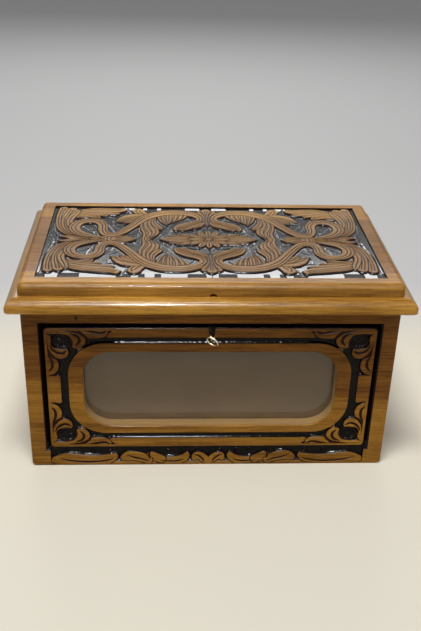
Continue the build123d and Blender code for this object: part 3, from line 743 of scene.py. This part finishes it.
CORNER_VEINS = [
    [(-166, 111.6, 1.3), (-160, 112.3, 1.4), (-156.5, 113.8, 1.6), (-154.6, 115.4, 1.6)],
    [(-163, 117.5, 0.7), (-160, 121, 1.4), (-159, 125.5, 1.6), (-160, 131.5, 1.4), (-163, 136.5, 0.7)],
    [(-153.6, 131.6, 1.4), (-158, 134.5, 1.7), (-162, 140.5, 1.6), (-163.3, 146.5, 1.3),
     (-163, 151.5, 0.5)],
    [(-160.6, 147.5, 0.7), (-157.6, 142.6, 1.4), (-154, 139.6, 1.6), (-150, 138.4, 1.6),
     (-147, 139.2, 1.4), (-144.8, 141, 0.7)],
    [(-134.6, 147.8, 0.7), (-131.5, 151.5, 1.6), (-131.5, 155.5, 1.6), (-134, 159, 1.6),
     (-139.5, 161.2, 0.7)],
    [(-124.2, 156, 1.4), (-127, 159.5, 1.7), (-132, 162.2, 1.6), (-142, 164.3, 1.3), (-150, 165, 0.5)],
    [(-129, 165.2, 0.5), (-120, 163.4, 1.4), (-112, 162, 1.6), (-108, 162.3, 1.4), (-104.5, 164, 0.7)],
]
CORNER_RIDGES = [
    [(-137.6, 144.6, 0.9), (-135, 139.6, 1.1), (-133.6, 136, 0.8)],
    [(-123.4, 155.6, 0.8), (-120.6, 152.4, 1.0), (-117.6, 148.4, 0.8)],
    [(-150.6, 131, 0.8), (-147.6, 128.6, 1.1), (-145.4, 125, 0.8)],
    [(-154, 117.4, 0.8), (-150.4, 114.6, 1.0), (-148, 113, 0.8)],
]
CORNER_BOWLS = [(-148.2, 152.2, 9.8, 8.3)]
CORNER_DESIGN = {"lobes": CORNER_LOBES, "veins": CORNER_VEINS, "ridges": CORNER_RIDGES,
                 "bowls": CORNER_BOWLS}
OVAL_X = 144.0
OVAL_LOW = 42.0
OVAL_HIGH = 150.0
OVAL_RADIUS = 37.0
HAIR = 0.4


def outside_oval(x, z):
    """Whether a place lies outside the drawer's oval frame, or no more than a hair inside it."""
    dx = max(0.0, abs(x) - (OVAL_X - OVAL_RADIUS))
    dz = max(0.0, abs(z - (OVAL_LOW + OVAL_HIGH) / 2) - ((OVAL_HIGH - OVAL_LOW) / 2 - OVAL_RADIUS))
    return math.hypot(dx, dz) > OVAL_RADIUS - HAIR


def fold_corner(x, z):
    return -np.abs(x), CORNER_MIDDLE + np.abs(z - CORNER_MIDDLE)


def carve_drawer_corners(material):
    for side, widths in CORNER_FIELDS.items():
        for level, heights in CORNER_LEVELS.items():
            relief_piece(f"drawer_carving_{level}_{side}", "drawer", material, (*widths, *heights),
                         FRONT_DEPTH, fold_corner, CORNER_DESIGN, ON_FRONT, outside_oval)


# Straight runs of the groove round the oval frame, between the corner leaves: left, right, low and high

LEVEL_GROOVES = {"top": (-98.25, 98.25, 150.05, 156.95), "bottom": (-98.25, 98.25, 35.05, 41.95)}
UPRIGHT_GROOVES = {"left": (-151.95, -144.05, 80.55, 111.95), "right": (144.05, 151.95, 80.55, 111.95)}


def unfolded(x, z):
    return x, z


def round_groove(name, material, field, low, high, along):
    """low and high are the groove's two sides, and along is 0 for a level one and 1 for an upright one."""
    design = {"channel": ((low + high) / 2, (high - low) / 2, along)}
    relief_piece("drawer_groove_" + name, "drawer", material, field, FRONT_DEPTH, unfolded,
                 design, ON_FRONT)


def round_drawer_grooves(material):
    for name, field in LEVEL_GROOVES.items():
        round_groove(name, material, field, field[2], field[3], 0)
    for name, field in UPRIGHT_GROOVES.items():
        round_groove(name, material, field, field[0], field[1], 1)


# Apron under the drawer: long boat-shaped leaves on a black wavy ground

APRON_LOBES = [
    [(-167, 1.5, 3.4), (0, 1.5, 3.4)],
    # outer leaf
    [(-162, 6.5, 5.0), (-152, 8, 7.4), (-141, 7.6, 7.0), (-130, 6, 7.0), (-118, 5.6, 7.0),
     (-107, 7.5, 6.2), (-100.5, 10.5, 4.4), (-98.6, 12.6, 2.6)],
    # inner leaf in two waves
    [(-51, 6, 5.0), (-43, 4.5, 5.6), (-34, 5.5, 5.4), (-27, 8, 5.2), (-23.6, 11.5, 4.0),
     (-22.6, 14.4, 2.2)],
    [(-66, 6, 4.0), (-61, 11, 5.6), (-56, 9.6, 5.6), (-50, 7, 5.2)],
    [(-90, 9, 4.0), (-85, 11.2, 6.2), (-78, 11.2, 6.2), (-70.5, 9.4, 6.0), (-64, 6, 5.0)],
    # pair in the middle
    [(-15, 8, 3.0), (-12.6, 11.4, 4.8), (-8, 10.6, 5.0), (-4, 7, 5.0), (-1.2, 4, 4.0)],
]
APRON_VEINS = [
    [(-158, 9, 0.5), (-148, 6, 1.1), (-135, 4.2, 1.2), (-120, 4.2, 1.2), (-108, 6, 1.1),
     (-101, 8.4, 0.5)],
    [(-87, 13, 0.5), (-79, 9.6, 1.2), (-71, 7.4, 1.2), (-64, 5, 0.9)],
    [(-50, 5.4, 0.5), (-41, 4.4, 1.1), (-32, 5, 1.1), (-26.5, 7.4, 0.5)],
    [(-15, 13.2, 0.6), (-10.4, 11.2, 1.2), (-6.6, 8, 1.2), (-4.6, 4, 0.8)],
    [(-62.6, 15.6, 1.0), (-63.4, 12, 1.2), (-62.2, 8, 0.8)],
]
# Drops of the black ground that hang between the drawer and the leaves
APRON_DROP_PLACES = [-150.0, -123.5, -104.0, -81.0, -60.5, -43.0, -30.0, -12.5]
APRON_DROPS = [[(x, 19.0, 1.9), (x + 0.3, 16.5, 2.3)] for x in APRON_DROP_PLACES]
APRON_DESIGN = {"lobes": APRON_LOBES, "veins": APRON_VEINS, "drops": APRON_DROPS}
APRON_FIELDS = {"left": (-167.15, 0.0, 1.55, 22.75), "right": (0.0, 167.15, 1.55, 22.75)}


def fold_apron(x, z):
    return -np.abs(x), z


def carve_apron(material):
    for side, field in APRON_FIELDS.items():
        relief_piece("apron_carving_" + side, "case", material, field, FRONT_DEPTH, fold_apron,
                     APRON_DESIGN, ON_FRONT)


# Plain finishes


def inner_wood():
    finish = Finish("inner_wood", {"Coat Weight": 0.1, "Coat Roughness": 0.3})
    place = finish.place()
    fibres = finish.noise(finish.scaled(place, (1.0, 12.0, 12.0)), 30.0, 6.0, 0.6, 0.4)
    clouds = finish.noise(place, 14.0)
    tone = finish.ease(fibres * 0.6 + clouds * 0.5, 0.35, 0.75)
    finish.feed("Base Color", finish.mix(tone, tint(122, 92, 62), tint(164, 130, 92)))
    finish.feed("Roughness", 0.55 + fibres * 0.1)
    finish.feed("Normal", finish.bump(fibres, 0.2 * MM, 0.4))
    return finish.material


# Heights over which a painted reflection of the floor pales the glass towards its foot
REFLECTION_HEIGHTS = (85 * MM, 55 * MM)


def window_glass():
    """Brownish old glass with smears, and a painted reflection of the floor that pales it towards its foot.
    """
    finish = Finish("window_glass", {"Transmission Weight": 0.84, "Roughness": 0.02, "IOR": 1.5})
    place = finish.place()
    smears = finish.noise(place, 30.0, 3.0) * 0.3
    # Painted reflection: the glass is paler towards its foot
    floor_reflection = finish.ease(finish.axis(place, "Z"), *REFLECTION_HEIGHTS) * 0.5
    finish.feed("Base Color", finish.mix(smears + floor_reflection, tint(164, 142, 108), tint(200, 186, 163)))
    return finish.material


def metal(name, colour, dull, rough):
    """Metal that dulls in patches, with fine brush marks; rough is its least roughness."""
    finish = Finish(name, {"Metallic": 1.0})
    place = finish.place()
    wear = finish.noise(place, 420.0, 4.0, 0.6)
    brushed = finish.noise(finish.scaled(place, (1.0, 1.0, 9.0)), 900.0, 2.0)
    finish.feed("Base Color", finish.mix(finish.ease(wear, 0.4, 0.7), colour, dull))
    finish.feed("Roughness", rough + wear * 0.16)
    finish.feed("Normal", finish.bump(brushed * 0.5 + wear, 0.08 * MM, 0.4))
    return finish.material


# Dressing the CAD nodes


def dress(names, material):
    for name in names:
        for slot in nodes[name].material_slots:
            slot.material = material


def dress_everything():
    lid = walnut("lid_walnut", "x", lid_strips, lid_cut, lacquer=0.05, satin=0.42, pooled=0.3,
                 punch=0.02 * MM, painted_light=lid_painted_sheen)
    front = walnut("front_walnut", "x", front_strips_and_shade, front_cut, lacquer=0.05, gloss=0.05, pooled=0.11,
                   punch=0.5 * MM, knot=FRONT_KNOT, painted_light=hole_painted_light)
    rail = walnut("rail_walnut", "x", golden_rail, lacquer=0.08, satin=0.3)
    side_rail = walnut("side_rail_walnut", "y", brown_rail, lacquer=0.1, satin=0.3, painted_light=rail_painted_sheen)
    side_board = walnut("side_walnut", "y")
    back_board = walnut("back_walnut", "x")
    inner = inner_wood()
    pale_brass = metal("pale_brass", tint(240, 228, 200), tint(196, 180, 146), 0.14)
    brass = metal("brass", tint(214, 178, 104), tint(158, 122, 62), 0.2)
    steel = metal("steel", tint(196, 194, 190), tint(140, 138, 134), 0.25)
    dress(["lid_panel"], lid)
    dress(["case_front", "drawer_front"], front)
    dress(["cornice_front", "cornice_back"], rail)
    dress(["case_back", "glazing_bead_top", "glazing_bead_bottom"], back_board)
    dress(["case_bottom", "tray_floor", "drawer_bottom", "drawer_back"], inner)
    dress(["window_glass"], window_glass())
    dress(["screw_eye", "pull_ring"], pale_brass)
    dress(["case_hinge_screws", "lid_hinge_screws"], steel)
    for side in ("left", "right"):
        dress(["cornice_" + side], side_rail)
        dress(["case_" + side + "_side"], side_board)
        dress(["glazing_bead_" + side], back_board)
        dress(["drawer_side_" + side, "drawer_runner_" + side], inner)
        dress(["hinge_case_leaf_" + side, "hinge_lid_leaf_" + side], brass)
        dress(["hinge_pin_" + side], steel)
    carve_lid(lid)
    carve_drawer_corners(front)
    round_drawer_grooves(front)
    carve_apron(front)


# Studio

FLOOR_SIZE = 6.0
FAR_FLOOR = (0.1, 0.4)
AIR_LIGHT = 0.4


def add_floor():
    """A plain floor, warm under the chest and grey as the backdrop from behind it on."""
    bm = bmesh.new()
    bmesh.ops.create_grid(bm, x_segments=1, y_segments=1, size=FLOOR_SIZE)
    mesh = bpy.data.meshes.new("floor")
    bm.to_mesh(mesh)
    bm.free()
    floor = bpy.data.objects.new("floor", mesh)
    bpy.context.collection.objects.link(floor)
    finish = Finish("floor_paper", {"Roughness": 0.9})
    place = finish.place()
    mottle = finish.noise(place, 3.0) * 0.2
    grey = finish.ease(finish.axis(place, "Y"), *FAR_FLOOR) + mottle
    finish.feed("Base Color", finish.mix(grey, tint(228, 221, 202), tint(196, 195, 194)))
    mesh.materials.append(finish.material)


def add_air():
    """The camera, gloss and glass see the backdrop at its full colour; the chest is lit by less of it."""
    world = bpy.data.worlds.new("studio")
    bpy.context.scene.world = world
    air = Recipe(world, "Background")
    air.shader.inputs["Color"].default_value = tint(199, 199, 201)
    camera, glossy, passing = [air.node("ShaderNodeLightPath", {}, {}, ray) for ray in
                               ("Is Camera Ray", "Is Glossy Ray", "Is Transmission Ray")]
    seen = camera.most(glossy).most(passing)
    air.feed("Strength", AIR_LIGHT + seen * (1 - AIR_LIGHT))


def add_lamp(name, place, aim, width, height, power, glints_only=False):
    data = bpy.data.lights.new(name, "AREA")
    data.shape = "RECTANGLE"
    data.size = width
    data.size_y = height
    data.energy = power
    lamp = bpy.data.objects.new(name, data)
    bpy.context.collection.objects.link(lamp)
    lamp.visible_diffuse = not glints_only
    lamp.visible_transmission = not glints_only
    turn = (Vector(aim) - Vector(place)).to_track_quat("-Z", "Y")
    lamp.matrix_world = Matrix.Translation(place) @ turn.to_matrix().to_4x4()


def add_lamps():
    """A wide window behind that shines in the lid's ground, a soft lamp above, one for glints in front."""
    add_lamp("window_behind", place=(0.0, 2.0, 1.335), aim=(0.0, -0.09, 0.2128), width=1.7, height=0.28,
             power=15.0)
    add_lamp("ceiling", place=(-0.15, -0.55, 2.0), aim=(0.0, 0.0, 0.1), width=0.6, height=0.36, power=31.0)
    add_lamp("glint_lamp", place=(-0.1, -1.5, 1.7), aim=(0.0, -0.1, 0.1), width=0.24, height=0.1,
             power=110.0, glints_only=True)


add_camera()
dress_everything()
add_floor()
add_air()
add_lamps()

bpy.context.scene.view_settings.view_transform = "Standard"
bpy.context.view_layer.update()
